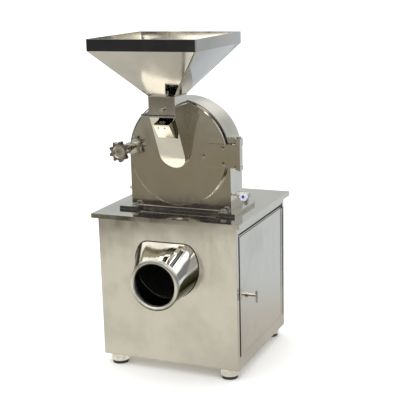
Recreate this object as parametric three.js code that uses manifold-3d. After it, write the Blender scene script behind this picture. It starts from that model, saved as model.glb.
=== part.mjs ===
import * as THREE from 'three';
import { mergeVertices } from 'three/addons/utils/BufferGeometryUtils.js';
import Module from 'manifold-3d';

// Stainless steel hammer mill on a cabinet. Millimetres, +Z up, the front faces -Y, the floor is z 0.
// The dimensions below are given from the centre of the table; CENTRE_X and CENTRE_Y then move the
// whole machine so that its own box is centred on the origin.

const wasm = await Module();
wasm.setup();

// ---- driving dimensions ----
const CENTRE_X = 12; // middle of the machine's box, from the table's centre
const CENTRE_Y = -71;
const GAP = 0.3; // clearance between pieces that touch

const TABLE = { halfX: 295, halfY: 283, top: 600, skirt: 17, skin: 3 };
const CABINET = { halfX: 276, halfY: 264, bottom: 41, top: 596.7, sheet: 2, wrap: 18 };
const PAN_TOP = 44; // top of the cabinet's bottom plate
const FOOT = { x: 228, y: 228, cupRadius: 34, padRadius: 30, padHeight: 13 };

const VENTS = { count: 6, halfX: 70, first: 400, pitch: 18, height: 7 }; // slots in the rear panel
const GLAND = { x: 180, z: 120 };

const SIDE_DOOR = { front: -235, rear: 242.5, bottom: 91, top: 541, hingeX: 278.5, hingeY: 245, barrel: 2.1 };
const SIDE_DOOR_GAP = { above: 17, below: 1 }; // between the door and the cabinet's header and sill
const SIDE_OPENING = { halfY: 222, bottom: 112, top: 525 };
const LATCH = { y: -163, z: 306, barX: 313.5, barRadius: 4.8, barDown: 26, barUp: 18, bossRadius: 11 };

const CHAMBER = { x: 12.5, z: 818, radius: 201, bore: 183, front: -150, back: -34, bottom: 612.6 };
const DISCHARGE = { x0: -115, x1: 145, y0: -142, y1: -42 }; // opening under the chamber
const FLANGE = { x0: -226, x1: 240, front: -184, back: 28, bottom: 600.3, top: 612.3 };
const FLANGE_EAR = 74; // how far each front ear reaches in from the flange's end
const FLANGE_BOLTS = [[-167, -168], [190, -168], [-167, 6], [190, 6]];

const DOOR = { front: -164, back: -152, radius: 194 };
const HINGE = { x: 254, y: -166, pinRadius: 5.7, barrelRadius: 12.5, bottom: 787, top: 862 }; // the barrel
const HINGE_LUG = { eye: 14.5, below: 13.5, above: 24 }; // the bracket's two lugs: radius and thicknesses
const HINGE_PLATE = { bottom: 777, notchX: 236.5, left: [[138, HINGE.top], [104, 836], [98, 816], [99, 795],
  [133, 777]] }; // its outline's left end in X and Z, and the notch over the lower lug
const HINGE_BOLTS = [[188, 848], [190, 790], [114, 816]];
const CLAMP = { x: -190, z: 829, screwRadius: 8, block: 15, blockHalfHeight: 17 };

const TAP = [-138, 676, 269]; // Y, Z and X of the tap's middle

const ROTOR = { discRadius: 118, pinCircle: 95, tipRadius: 160, pinRadius: 6, shaftRadius: 16 };
const HAMMER_COUNT = 4;

const BEARINGS = [-18, 72]; // where each bearing starts, in Y
const BEARING_HOUSING = { seat: 36.4, barrel: 52, end: 95, foot: 22 }; // radii, then where it ends in Y
const BELT = { y: 129, width: 10, half: 4 }; // half the belt's thickness about its pitch line
const BELT_SLOT = { x0: -62, x1: 92, y0: 106, y1: 152 }; // where the belt passes through the table
const DRIVEN_PITCH = 50;
const MOTOR_PITCH = 80;
const MOTOR = { x: CHAMBER.x, z: 165, radius: 98, shaft: 14, front: -185, back: 85 };
const MOTOR_FOOT = { inner: 60, outer: 108, y0: -70, y1: 50, bottom: 53, top: 110 };
const TERMINAL_BOX = { halfX: 50, y0: -30, y1: 55, height: 36 };
const MOTOR_PLATE = { x0: -135, x1: 165, y0: -120, y1: 100, top: 52.7 };

const DUCT = { z: 420, radius: 128, flatTop: 507, sheet: 2 }; // where it crosses the cabinet's front
const OUTLET = { x: 2, z: 377, y: -380, outer: 95, bore: 79, ring: 9, collar: 26 };

const NECK = { x0: -46.5, x1: 56.5, y0: -270, y1: -164.3, bottom: 966.3, top: 1040, sheet: 3 };
const NECK_SCREW = { x: 9, z: 994, radius: 5, knob: 7, front: -284 };
const GATE = { guide: 5, gate: 3.2, left: -77 }; // guide plate and gate thickness, the guide's left end
const HOPPER = { x0: -200, x1: 210, y0: -425, y1: -8, coneTop: 1209, top: 1250, sheet: 2 };
const CHUTE = { x0: -45, x1: 55, top: 966, bendZ: 806, bottom: 767, frontY: -268, lowY: -190 };
const SCOOP = { x0: -16, x1: 46, sheet: 2, lip: [-303, 945], low: [-258, 894], topZ: 955, footZ: 886 };

// ---- solids ----

// a watertight solid from a three.js geometry
function solid(geometry) {
  const bare = geometry.clone();
  for (const name of Object.keys(bare.attributes)) {
    if (name !== 'position') bare.deleteAttribute(name);
  }
  const merged = mergeVertices(bare, 1e-4);
  const index = merged.index.array;
  const triangles = [];
  for (let i = 0; i < index.length; i += 3) {
    const [a, b, c] = [index[i], index[i + 1], index[i + 2]];
    if (a !== b && b !== c && c !== a) triangles.push(a, b, c);
  }
  return new wasm.Manifold(new wasm.Mesh({
    numProp: 3,
    vertProperties: new Float32Array(merged.attributes.position.array),
    triVerts: new Uint32Array(triangles),
  }));
}

function geometryOf(body) {
  const mesh = body.getMesh();
  const geometry = new THREE.BufferGeometry();
  geometry.setAttribute('position', new THREE.BufferAttribute(new Float32Array(mesh.vertProperties), 3));
  geometry.setIndex(new THREE.BufferAttribute(new Uint32Array(mesh.triVerts), 1));
  return geometry;
}

const join = (first, ...rest) => rest.reduce((sum, body) => sum.add(body), first);
const cut = (first, ...rest) => rest.reduce((left, body) => left.subtract(body), first);

function box(x0, x1, y0, y1, z0, z1) {
  const geometry = new THREE.BoxGeometry(x1 - x0, y1 - y0, z1 - z0);
  return solid(geometry.translate((x0 + x1) / 2, (y0 + y1) / 2, (z0 + z1) / 2));
}

// puts a shape drawn across an axis onto that axis: drawn as (y,z) for x, (x,z) for y, (x,y) for z
function alongAxis(geometry, axis, from, to) {
  const basis = new THREE.Matrix4();
  const [x, y, z] = [new THREE.Vector3(1, 0, 0), new THREE.Vector3(0, 1, 0), new THREE.Vector3(0, 0, 1)];
  if (axis === 'x') basis.makeBasis(y, z, x).setPosition(from, 0, 0);
  if (axis === 'y') basis.makeBasis(x, z, y.clone().negate()).setPosition(0, to, 0);
  if (axis === 'z') basis.makeBasis(x, y, z).setPosition(0, 0, from);
  return solid(geometry.applyMatrix4(basis));
}

// a flat outline pushed along an axis
function prism(points, axis, from, to, holes = []) {
  const shape = new THREE.Shape(points.map(([u, v]) => new THREE.Vector2(u, v)));
  for (const hole of holes) {
    shape.holes.push(new THREE.Path(hole.map(([u, v]) => new THREE.Vector2(u, v))));
  }
  const geometry = new THREE.ExtrudeGeometry(shape, { depth: to - from, bevelEnabled: false, steps: 1 });
  return alongAxis(geometry, axis, from, to);
}

// points on an arc, angles in degrees
function arc(u, v, radius, fromDeg, toDeg, count) {
  const points = [];
  for (let i = 0; i <= count; i += 1) {
    const angle = THREE.MathUtils.degToRad(fromDeg + ((toDeg - fromDeg) * i) / count);
    points.push([u + radius * Math.cos(angle), v + radius * Math.sin(angle)]);
  }
  return points;
}

const circle = (u, v, radius, count) => arc(u, v, radius, 0, 360, count).slice(0, count);

// a round bar (or a hexagon, with count 6) along an axis
const rod = (axis, u, v, radius, from, to, count = 20) => prism(circle(u, v, radius, count), axis, from, to);

// a flat ring
function ring(axis, u, v, outer, inner, from, to, count = 32) {
  return prism(circle(u, v, outer, count), axis, from, to, [circle(u, v, inner, count)]);
}

// a skin between matching outer and inner rings of points, closed at both ends
function tube(outerRings, innerRings) {
  const n = outerRings[0].length;
  const rows = [...outerRings, ...innerRings.slice().reverse()];
  const positions = rows.flat().flatMap((p) => [p[0], p[1], p[2]]);
  const index = [];
  for (let row = 0; row < rows.length; row += 1) {
    const next = (row + 1) % rows.length;
    for (let i = 0; i < n; i += 1) {
      const j = (i + 1) % n;
      index.push(row * n + i, row * n + j, next * n + j, row * n + i, next * n + j, next * n + i);
    }
  }
  const build = () => {
    const geometry = new THREE.BufferGeometry();
    geometry.setAttribute('position', new THREE.Float32BufferAttribute(positions, 3));
    geometry.setIndex(index);
    return solid(geometry);
  };
  const body = build();
  if (body.volume() > 0) return body;
  for (let i = 0; i < index.length; i += 3) [index[i], index[i + 1]] = [index[i + 1], index[i]];
  return build();
}

// ---- node list ----
const group = new THREE.Group();
group.name = 'hammer_mill';

const STEEL = { color: 0xc9c8c3, metalness: 0.9, roughness: 0.2 };
const CAST = { color: 0x8f9396, metalness: 0.6, roughness: 0.5 };
const HARD = { color: 0x6f7174, metalness: 0.8, roughness: 0.4 };
const RUBBER = { color: 0x1d1d1f, metalness: 0, roughness: 0.8 };
const PAINT = { color: 0x3d5a6c, metalness: 0.2, roughness: 0.5 };
const BLUE = { color: 0x2f6ea8, metalness: 0.1, roughness: 0.4 };

function add(name, body, look) {
  const geometry = geometryOf(body);
  geometry.translate(-CENTRE_X, -CENTRE_Y, 0);
  const mesh = new THREE.Mesh(geometry, new THREE.MeshStandardMaterial(look));
  mesh.name = name;
  group.add(mesh);
}

// ---- cabinet ----

// the smaller of two numbers, with the change from one to the other rounded off
function softMin(a, b, blend) {
  const near = Math.max(blend - Math.abs(a - b), 0) / blend;
  return Math.min(a, b) - (near * near * blend) / 4;
}

// the duct's outline: round, with a flat top and rounded top corners; inset is measured inwards
function ductOutline(inset, count = 40) {
  const points = [];
  for (let i = 0; i < count; i += 1) {
    const angle = (2 * Math.PI * i) / count;
    const x = (DUCT.radius - inset) * Math.sin(angle);
    const round = DUCT.z + (DUCT.radius - inset) * Math.cos(angle);
    points.push([x, softMin(round, DUCT.flatTop - inset, 22)]);
  }
  return points;
}

function basePan() {
  const { halfX, halfY, bottom } = CABINET;
  return box(-halfX, halfX, -halfY, halfY, bottom, PAN_TOP);
}

// a front or rear panel whose vertical edges wrap round the cabinet's corners; side is -1 or +1 in Y
function wrappedPanel(side) {
  const { halfX, halfY, sheet, wrap, top } = CABINET;
  const span = (a, b) => [Math.min(side * a, side * b), Math.max(side * a, side * b)];
  const [y0, y1] = span(halfY - sheet, halfY);
  const [w0, w1] = span(halfY - wrap, halfY);
  const z0 = PAN_TOP + GAP;
  return join(
    box(-halfX, halfX, y0, y1, z0, top),
    box(-halfX, -halfX + sheet, w0, w1, z0, top),
    box(halfX - sheet, halfX, w0, w1, z0, top),
  );
}

function frontPanel() {
  const { halfY } = CABINET;
  return cut(wrappedPanel(-1), prism(ductOutline(2.5), 'y', -halfY - 5, -halfY + 8));
}

function rearPanel() {
  const { halfY } = CABINET;
  let panel = wrappedPanel(1);
  for (let row = 0; row < VENTS.count; row += 1) {
    const z = VENTS.first + row * VENTS.pitch;
    panel = cut(panel, box(-VENTS.halfX, VENTS.halfX, halfY - 8, halfY + 5, z, z + VENTS.height));
  }
  return cut(panel, rod('y', GLAND.x, GLAND.z, 8.6, halfY - 8, halfY + 5, 16));
}

function leftPanel() {
  const { halfX, halfY, sheet, wrap, top } = CABINET;
  const edge = halfY - wrap - GAP;
  return box(-halfX, -halfX + sheet, -edge, edge, PAN_TOP + GAP, top);
}

// the frame round the side door: a sheet set back from the cabinet's face, with its sill and header flush
function sideFrame() {
  const { halfX, halfY, wrap, top } = CABINET;
  const edge = halfY - wrap - GAP;
  const [back, face] = [halfX - 5, halfX - 3.2];
  const plate = box(back, face, -edge, edge, PAN_TOP + GAP, top);
  const opening = box(back - 5, face + 5, -SIDE_OPENING.halfY, SIDE_OPENING.halfY,
    SIDE_OPENING.bottom, SIDE_OPENING.top);
  const sill = box(back, halfX, -edge, edge, PAN_TOP + GAP, SIDE_DOOR.bottom - SIDE_DOOR_GAP.below);
  const header = box(back, halfX, -edge, edge, SIDE_DOOR.top + SIDE_DOOR_GAP.above, top);
  return join(cut(plate, opening), sill, header);
}

// the strip hinge has three long knuckles: the middle one is the door's, the outer two the cabinet's
const KNUCKLES = [SIDE_DOOR.bottom, 243, 394, SIDE_DOOR.top];
const HINGE_PIN_RADIUS = 1.1;

const sideHingeBore = () => rod('z', SIDE_DOOR.hingeX, SIDE_DOOR.hingeY, HINGE_PIN_RADIUS + 0.3, 80, 560, 12);

function serviceDoor() {
  const { halfX } = CABINET;
  const { front, rear, bottom, top, hingeX, hingeY, barrel } = SIDE_DOOR;
  const [low, high] = [KNUCKLES[1] + GAP, KNUCKLES[2] - GAP];
  const hem = [[halfX - 2, front], [halfX + 0.6, front], [halfX + 2, front + 5], [halfX + 2, front + 13],
    [halfX - 1, front + 16]]; // the folded front edge stands a little proud
  const door = join(
    box(halfX - 2, halfX, front, rear, bottom, top),
    prism(hem, 'z', bottom, top),
    rod('x', LATCH.y, LATCH.z, LATCH.bossRadius, halfX - 1, halfX + 6, 20),
    box(halfX - 1, halfX + 1.2, hingeY - 20, rear, bottom, top),
    box(halfX + GAP, halfX + 1.2, rear - 2, hingeY, low, high),
    rod('z', hingeX, hingeY, barrel, low, high, 12),
  );
  return cut(door, rod('x', LATCH.y, LATCH.z, 6.3, halfX - 8, halfX + 12, 16), sideHingeBore());
}

// the hinge half that stays on the cabinet's corner
function sideHingeLeaf() {
  const { hingeX, hingeY, barrel } = SIDE_DOOR;
  const face = CABINET.halfX + GAP;
  let leaf = box(face, face + 1.2, hingeY + 1, 262, KNUCKLES[0], KNUCKLES[3]);
  for (const [low, high] of [[KNUCKLES[0], KNUCKLES[1]], [KNUCKLES[2], KNUCKLES[3]]]) {
    leaf = join(leaf, rod('z', hingeX, hingeY, barrel, low, high, 12));
  }
  leaf = cut(leaf, box(face - 5, face + 10, hingeY - 10, hingeY + 3, KNUCKLES[1], KNUCKLES[2]));
  return cut(leaf, sideHingeBore());
}

const sideHingePin = () => rod('z', SIDE_DOOR.hingeX, SIDE_DOOR.hingeY, HINGE_PIN_RADIUS, 88, 544, 12);

function latchHandle() {
  return join(
    rod('x', LATCH.y, LATCH.z, 5.8, 261, LATCH.barX, 16),
    rod('z', LATCH.barX, LATCH.y, LATCH.barRadius, LATCH.z - LATCH.barDown, LATCH.z + LATCH.barUp, 14),
  );
}

function latchTongue() {
  const plate = prism([...arc(LATCH.y, LATCH.z, 12, 0, 180, 8), [LATCH.y - 12, LATCH.z - 76],
    [LATCH.y + 12, LATCH.z - 76]], 'x', 263, 268.5);
  return cut(plate, rod('x', LATCH.y, LATCH.z, 6.1, 250, 280, 16));
}

function tableTop() {
  const { halfX, halfY, top, skirt, skin } = TABLE;
  let table = box(-halfX, halfX, -halfY, halfY, top - skirt, top);
  const [insideX, insideY] = [halfX - skin, halfY - skin];
  table = cut(table, box(-insideX, insideX, -insideY, insideY, top - skirt - 5, top - skin));
  table = cut(table, box(DISCHARGE.x0, DISCHARGE.x1, DISCHARGE.y0, DISCHARGE.y1, top - 10, top + 5));
  table = cut(table, box(BELT_SLOT.x0, BELT_SLOT.x1, BELT_SLOT.y0, BELT_SLOT.y1, top - 10, top + 5));
  for (const [x, y] of FLANGE_BOLTS) table = cut(table, rod('z', x, y, 6.6, top - 10, top + 5, 12));
  return table;
}

function foot(x, y) {
  return join(
    rod('z', x, y, FOOT.padRadius, 0, FOOT.padHeight + 1, 24),
    rod('z', x, y, FOOT.cupRadius, FOOT.padHeight, CABINET.bottom - GAP, 24),
  );
}

function cableGland() {
  const { x, z } = GLAND;
  const face = CABINET.halfY;
  return join(
    rod('y', x, z, 8.2, face - 12, face + 2, 16),
    rod('y', x, z, 14, face + GAP, face + 9, 6),
    rod('y', x, z, 9, face + 8, face + 16, 16),
  );
}

// ---- discharge duct ----

// one ring of points of the inner duct, step 0 under the chamber to step 1 at the front panel
function ductRing(step, inset) {
  const top = CABINET.top;
  const end = -CABINET.halfY + CABINET.sheet + GAP;
  const midX = (DISCHARGE.x0 + DISCHARGE.x1) / 2;
  const midY = (DISCHARGE.y0 + DISCHARGE.y1) / 2;
  const halfX = (DISCHARGE.x1 - DISCHARGE.x0) / 2 + DUCT.sheet - inset;
  const halfY = (DISCHARGE.y1 - DISCHARGE.y0) / 2 + DUCT.sheet - inset;
  const front = ductOutline(inset);
  return front.map(([x, z], i) => {
    const angle = (2 * Math.PI * i) / front.length;
    const reach = Math.max(Math.abs(Math.sin(angle)), Math.abs(Math.cos(angle)));
    const startX = midX + (halfX * Math.sin(angle)) / reach;
    const startY = midY - (halfY * Math.cos(angle)) / reach;
    const [a, b, c] = [(1 - step) ** 2, 2 * step * (1 - step), step ** 2];
    return [
      a * startX + b * (startX + x) * 0.5 + c * x,
      a * startY + b * startY + c * end,
      a * top + b * z + c * z,
    ];
  });
}

function innerDuct() {
  const steps = [0, 0.15, 0.3, 0.45, 0.6, 0.75, 0.88, 1];
  return tube(steps.map((s) => ductRing(s, 0)), steps.map((s) => ductRing(s, DUCT.sheet)));
}

// the short spout outside the cabinet, narrowing and dropping to the round outlet
function outletDuct() {
  const base = -CABINET.halfY - GAP;
  const tip = OUTLET.y + OUTLET.ring;
  const ringAt = (step, inset) => ductOutline(inset).map(([x, z], i, all) => {
    const angle = (2 * Math.PI * i) / all.length;
    const radius = OUTLET.outer - 3 - inset;
    const end = [OUTLET.x + radius * Math.sin(angle), OUTLET.z + radius * Math.cos(angle)];
    return [x + (end[0] - x) * step, base + (tip - 1 - base) * step, z + (end[1] - z) * step];
  });
  const skin = tube([ringAt(0, 0), ringAt(1, 0)], [ringAt(0, DUCT.sheet), ringAt(1, DUCT.sheet)]);
  const { x, z, y, outer, bore, collar } = OUTLET;
  const profile = [
    [bore, y + collar], [bore, y + 5], [bore + 1.5, y + 2], [bore + 5, y], [outer - 4.5, y],
    [outer - 1.2, y + 1.5], [outer, y + 4.5], [outer, tip], [bore + 2, tip], [bore + 2, y + collar],
    [bore, y + collar],
  ]; // the mouth's rolled rim and the collar behind it
  const points = profile.map(([r, along]) => new THREE.Vector2(r, along));
  return join(skin, solid(new THREE.LatheGeometry(points, 64)).translate([x, 0, z]));
}

// ---- milling chamber ----

// the chamber's outline: an arch over a box
function arch(radius, halfWidth, bottom, count) {
  const { x, z } = CHAMBER;
  return [[x + halfWidth, bottom], ...arc(x, z, radius, 0, 180, count), [x - halfWidth, bottom]];
}

function chamberHousing() {
  const { x, z, radius, bore, front, back, bottom } = CHAMBER;
  let body = prism(arch(radius, radius, bottom, 40), 'y', front, back);
  const [clampLow, clampHigh] = [CLAMP.z - CLAMP.blockHalfHeight, CLAMP.z + CLAMP.blockHalfHeight];
  body = join(body, box(CLAMP.x - CLAMP.block, x - radius + 6, front, front + 38, clampLow, clampHigh));
  body = cut(body, prism(arch(bore, bore, bottom + 8, 40), 'y', front + 8, back - 7));
  body = cut(body, rod('y', x, z, bore, front - 5, front + 20, 80));
  body = cut(body, box(DISCHARGE.x0, DISCHARGE.x1, DISCHARGE.y0, DISCHARGE.y1, bottom - 5, bottom + 15));
  body = cut(body, rod('y', x, z, 22, back - 20, back + 5, 24));
  return cut(body, rod('y', CLAMP.x, CLAMP.z, 8.7, front - 5, front + 30, 20));
}

function baseFlange() {
  const { x0, x1, front, back, bottom, top } = FLANGE;
  let plate = box(x0, x1, front, back, bottom, top);
  const notch = box(x0 + FLANGE_EAR, x1 - FLANGE_EAR, front - 5, CHAMBER.front - 3, bottom - 5, top + 5);
  plate = cut(plate, notch);
  plate = cut(plate, box(DISCHARGE.x0, DISCHARGE.x1, DISCHARGE.y0, DISCHARGE.y1, bottom - 5, top + 5));
  for (const [x, y] of FLANGE_BOLTS) plate = cut(plate, rod('z', x, y, 6.6, bottom - 5, top + 5, 12));
  return plate;
}

function flangeBolt(x, y) {
  const washer = rod('z', x, y, 15, FLANGE.top + GAP, FLANGE.top + 3, 20);
  const head = rod('z', x, y, 11.5, FLANGE.top + 2, FLANGE.top + 11, 6);
  return join(washer, head, rod('z', x, y, 6, TABLE.top - 16, FLANGE.top + 2, 12));
}

// the toothed lining of the chamber's upper half
function chamberLiner() {
  const { x, z } = CHAMBER;
  const teeth = 22;
  const inner = [];
  for (let i = 0; i <= teeth * 2; i += 1) {
    const angle = THREE.MathUtils.degToRad(184 - (188 * i) / (teeth * 2));
    const radius = i % 2 ? 171 : 176;
    inner.push([x + radius * Math.cos(angle), z + radius * Math.sin(angle)]);
  }
  return prism([...arc(x, z, 182, -4, 184, 40), ...inner], 'y', -140, -46);
}

// the perforated half ring under the rotor
function sieveScreen() {
  const { x, z } = CHAMBER;
  let sheet = prism([...arc(x, z, 176, 188, 352, 30), ...arc(x, z, 174, 352, 188, 30)], 'y', -140, -46);
  for (let column = 0; column < 11; column += 1) {
    const angle = THREE.MathUtils.degToRad(198 + column * 14.4);
    for (let row = 0; row < 4; row += 1) {
      const hole = new THREE.CylinderGeometry(6, 6, 30, 8);
      hole.rotateZ(angle - Math.PI / 2); // its axis now points out from the rotor, drawn as (x, z)
      hole.rotateX(Math.PI / 2);
      hole.translate(x + 175 * Math.cos(angle), -125 + row * 21, z + 175 * Math.sin(angle));
      sheet = cut(sheet, solid(hole));
    }
  }
  return sheet;
}

// the bracket on the chamber's right wall that carries the door
function hingeBracket() {
  const wall = CHAMBER.x + CHAMBER.radius + GAP;
  const eye = arc(HINGE.x, HINGE.y, HINGE_LUG.eye, 180, 395, 14);
  const lugOutline = [[wall, -108], [wall, -149.7], [HINGE.x - HINGE_LUG.eye, -149.7], ...eye];
  const [foot, head] = [HINGE.bottom - HINGE_LUG.below, HINGE.top + HINGE_LUG.above];
  const plate = box(wall, wall + 7, -149.7, -106, foot - 1, head + 1);
  const lower = prism(lugOutline, 'z', foot, HINGE.bottom - GAP);
  const upper = prism(lugOutline, 'z', HINGE.top + GAP, head);
  return cut(join(plate, lower, upper), rod('z', HINGE.x, HINGE.y, 6.2, foot - 50, head + 50, 16));
}

function hingePin() {
  const [foot, head] = [HINGE.bottom - HINGE_LUG.below, HINGE.top + HINGE_LUG.above];
  return join(
    rod('z', HINGE.x, HINGE.y, HINGE.pinRadius, foot - 5, head + 4, 16),
    rod('z', HINGE.x, HINGE.y, 9, head + GAP, head + 7, 16),
  );
}

function tapBody() {
  const wall = CHAMBER.x + CHAMBER.radius + GAP;
  const [y, z, x] = TAP;
  return join(
    rod('x', y, z, 6.5, wall, 240, 16),
    rod('x', y, z, 12, 236, 254, 6),
    rod('x', y, z, 10, 252, 281, 16),
    rod('z', x, y, 8.5, 640, z, 16),
    rod('y', x, z, 8, -160, y, 16),
    rod('y', x, z, 4, -170, -158, 12),
  );
}

function tapHandle() {
  const [, z, x] = TAP;
  const outline = [];
  for (let i = 0; i < 36; i += 1) {
    const angle = (2 * Math.PI * i) / 36;
    const radius = 14.5 + 1.8 * Math.cos(6 * angle);
    outline.push([x + radius * Math.cos(angle), z + radius * Math.sin(angle)]);
  }
  return cut(prism(outline, 'y', -173, -163), rod('y', x, z, 4.3, -171, -160, 12));
}

function waterNipple() {
  const wall = CHAMBER.x - CHAMBER.radius - GAP;
  const [y, z] = TAP;
  return join(rod('x', y, z, 9, wall - 6, wall, 6), rod('x', y, z, 6, wall - 12, wall - 4, 16));
}

// ---- rotor and drive ----

const rotorAngle = (i) => (2 * Math.PI * i) / HAMMER_COUNT + Math.PI / 4;

function rotorDisc() {
  const { x, z } = CHAMBER;
  let body = join(
    rod('y', x, z, ROTOR.discRadius, -62, -54, 48),
    rod('y', x, z, 34, -110, -54, 32),
    ring('y', x, z, ROTOR.discRadius, 80, -125, -117, 48),
  );
  for (let i = 0; i < HAMMER_COUNT; i += 1) {
    const angle = rotorAngle(i);
    const u = x + ROTOR.pinCircle * Math.cos(angle);
    const v = z + ROTOR.pinCircle * Math.sin(angle);
    body = join(body, rod('y', u, v, ROTOR.pinRadius, -121, -58, 12));
  }
  return cut(body, rod('y', x, z, ROTOR.shaftRadius + GAP, -130, -40, 24));
}

// a hammer hanging straight down from its pin
function hammer(i) {
  const half = 15;
  const length = ROTOR.tipRadius - ROTOR.pinCircle;
  const u = CHAMBER.x + ROTOR.pinCircle * Math.cos(rotorAngle(i));
  const v = CHAMBER.z + ROTOR.pinCircle * Math.sin(rotorAngle(i));
  const outline = [...arc(u, v, half, 0, 180, 8), [u - half, v - length], [u + half, v - length]];
  return cut(prism(outline, 'y', -116, -63), rod('y', u, v, ROTOR.pinRadius + 0.5, -130, -50, 12));
}

function rotorShaft() {
  const { x, z } = CHAMBER;
  return join(
    rod('y', x, z, ROTOR.shaftRadius, -124, 158, 24),
    rod('y', x, z, 25, -122, -110 - GAP, 6),
  );
}

function bearingHousing() {
  const { x, z, back, bottom } = CHAMBER;
  const { seat, barrel, end, foot } = BEARING_HOUSING;
  const start = back + GAP;
  const body = join(
    rod('y', x, z, barrel, start, end, 32),
    rod('y', x, z, barrel + 20, start, start + 10, 32),
    box(x - 30, x + 30, start, foot, bottom + 2, z - 20),
    box(x - 85, x + 85, start, foot, bottom, bottom + 10),
  );
  return cut(body, rod('y', x, z, seat, start - 10, end + 10, 32));
}

const bearing = (from) => ring('y', CHAMBER.x, CHAMBER.z, 36, ROTOR.shaftRadius + GAP, from, from + 17, 32);

// a pulley with one V groove, its bore a little larger than the shaft
function pulley(x, z, pitch, bore) {
  const rim = pitch + 6;
  const floor = pitch - BELT.half - 0.6;
  const y = BELT.y;
  const profile = [
    [bore, y - 14], [rim, y - 14], [rim, y - 9], [floor, y - 5.6],
    [floor, y + 5.6], [rim, y + 9], [rim, y + 14], [bore, y + 14], [bore, y - 14],
  ];
  const points = profile.map(([r, along]) => new THREE.Vector2(r, along));
  return solid(new THREE.LatheGeometry(points, 36)).translate([x, 0, z]);
}

function motorRotor() {
  const { x, z, shaft, back } = MOTOR;
  return join(rod('y', x, z, shaft, -150, BELT.y + 18, 24), rod('y', x, z, 50, -120, back - 45, 32));
}

// outline of a belt run tight round both pulleys
function beltOutline(driven, motor) {
  const distance = CHAMBER.z - MOTOR.z;
  const lean = THREE.MathUtils.radToDeg(Math.asin((motor - driven) / distance));
  return [
    ...arc(CHAMBER.x, CHAMBER.z, driven, lean, 180 - lean, 18),
    ...arc(MOTOR.x, MOTOR.z, motor, 180 - lean, 360 + lean, 26),
  ];
}

function vBelt() {
  const outer = beltOutline(DRIVEN_PITCH + BELT.half, MOTOR_PITCH + BELT.half);
  const inner = beltOutline(DRIVEN_PITCH - BELT.half, MOTOR_PITCH - BELT.half);
  return prism(outer, 'y', BELT.y - BELT.width / 2, BELT.y + BELT.width / 2, [inner]);
}

function beltGuard() {
  const { x, z } = CHAMBER;
  const hood = (radius, y0, y1, bottom) => prism(
    [[x + radius, bottom], ...arc(x, z, radius, 0, 180, 20), [x - radius, bottom]], 'y', y0, y1);
  const shell = cut(hood(84, 99, 161, TABLE.top + GAP), hood(82, 101, 159, TABLE.top - 10));
  return cut(shell, rod('y', x, z, 20, 90, 110, 20));
}

function motorBody() {
  const { x, z, radius, shaft, front, back } = MOTOR;
  const { inner, outer, y0, y1, bottom, top } = MOTOR_FOOT;
  const { halfX, height } = TERMINAL_BOX;
  const casing = join(
    rod('y', x, z, radius, front, back - 20, 36),
    rod('y', x, z, 60, back - 22, back, 24),
    box(x - outer, x - inner, y0, y1, bottom, top),
    box(x + inner, x + outer, y0, y1, bottom, top),
    box(x - halfX, x + halfX, TERMINAL_BOX.y0, TERMINAL_BOX.y1, z + radius - 12, z + radius + height),
  );
  const bore = rod('y', x, z, 54, -158, back - 25, 32);
  return cut(casing, bore, rod('y', x, z, shaft + 1, back - 40, back + 5, 24));
}

function motorPlate() {
  const { x0, x1, y0, y1, top } = MOTOR_PLATE;
  return box(x0, x1, y0, y1, PAN_TOP + GAP, top);
}

// ---- chamber door and feed ----

function doorPanel() {
  const { x, z } = CHAMBER;
  const { front, back, radius } = DOOR;
  const profile = [[0, front], [radius - 3, front], [radius, front + 3], [radius, back], [0, back]];
  const points = profile.map(([r, along]) => new THREE.Vector2(r, along));
  let disc = solid(new THREE.LatheGeometry(points, 72)).translate([x, 0, z]);
  const [clampLow, clampHigh] = [CLAMP.z - CLAMP.blockHalfHeight, CLAMP.z + CLAMP.blockHalfHeight];
  disc = join(disc, box(CLAMP.x - CLAMP.block, -146, front - 12, front + 4, clampLow, clampHigh));
  disc = cut(disc, box(CHUTE.x0 + 12, CHUTE.x1 - 12, front - 5, back + 5, 800, 885));
  return cut(disc, rod('y', CLAMP.x, CLAMP.z, CLAMP.screwRadius + GAP, front - 20, back + 5, 20));
}

function doorHingePlate() {
  const { x, y, barrelRadius, bottom, top, pinRadius } = HINGE;
  const { left, notchX } = HINGE_PLATE;
  const outline = [...left, [notchX, HINGE_PLATE.bottom], [notchX, bottom], [x, bottom], [x, top]];
  let plate = prism(outline, 'y', DOOR.front - GAP - 5, DOOR.front - GAP);
  plate = join(plate, rod('z', x, y, barrelRadius, bottom, top, 24));
  for (const [u, v] of HINGE_BOLTS) {
    plate = join(plate, rod('y', u, v, 8, DOOR.front - 12, DOOR.front - 4, 6));
  }
  return cut(plate, rod('z', x, y, pinRadius + 0.4, bottom - 5, top + 5, 16));
}

const doorGasket = () => ring('y', CHAMBER.x, CHAMBER.z, 191, 185, DOOR.back + GAP, CHAMBER.front - GAP, 48);

const clampWasher = () => ring('y', CLAMP.x, CLAMP.z, 16, CLAMP.screwRadius + 0.5, -191.7, -188.7, 24);

const clampScrew = () => rod('y', CLAMP.x, CLAMP.z, CLAMP.screwRadius, -236, -152.5, 20);

function starKnob() {
  const outline = [];
  for (let i = 0; i < 72; i += 1) {
    const angle = (2 * Math.PI * i) / 72;
    const radius = 34 + 5.5 * Math.cos(9 * angle);
    outline.push([CLAMP.x + radius * Math.cos(angle), CLAMP.z + radius * Math.sin(angle)]);
  }
  const head = join(prism(outline, 'y', -242, -222), rod('y', CLAMP.x, CLAMP.z, 13, -224, -192, 20));
  const dished = cut(head, rod('y', CLAMP.x, CLAMP.z, 22, -250, -237, 28));
  return cut(dished, rod('y', CLAMP.x, CLAMP.z, CLAMP.screwRadius + 0.2, -260, -190, 20));
}

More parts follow.
